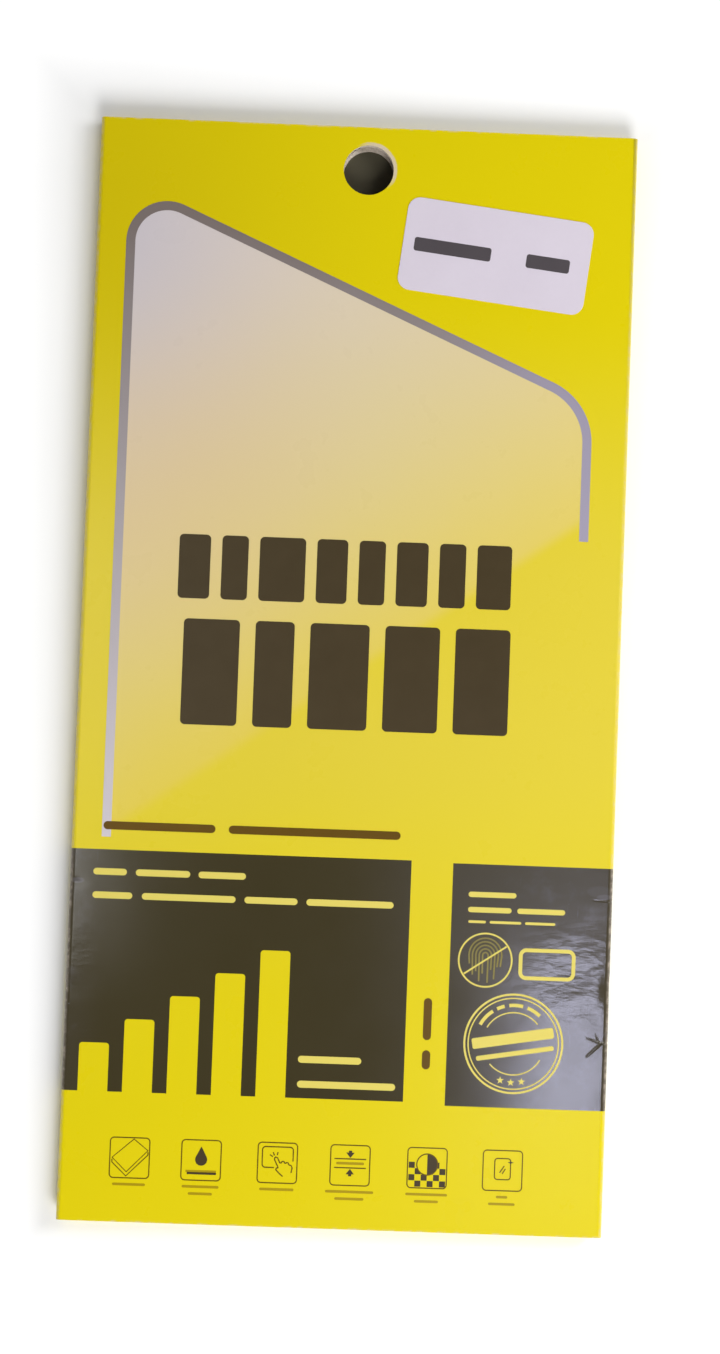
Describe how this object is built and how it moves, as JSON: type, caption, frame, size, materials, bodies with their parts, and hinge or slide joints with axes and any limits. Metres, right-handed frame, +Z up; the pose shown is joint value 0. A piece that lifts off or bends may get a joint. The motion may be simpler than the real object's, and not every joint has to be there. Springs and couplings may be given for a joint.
{
  "type": "screen protector retail pack",
  "caption": "Thin sealed card pack for a phone screen protector, printed on the front, with a round hang hole near the top and a small paper label stuck on slightly askew.",
  "frame": {"origin": "under the middle of the pack, on the surface that it lies on", "axes": "+Z up out of the printed front, +Y along the pack towards the hang hole, +X to the right across the front"},
  "size_m": [0.086, 0.175, 0.0037],
  "materials": {
    "printed_card": "satin laminate over print",
    "label_paper": "matt coated paper"
  },
  "bodies": {
    "root": {"carton": "printed_card", "label": "label_paper"}
  },
  "joints": []
}
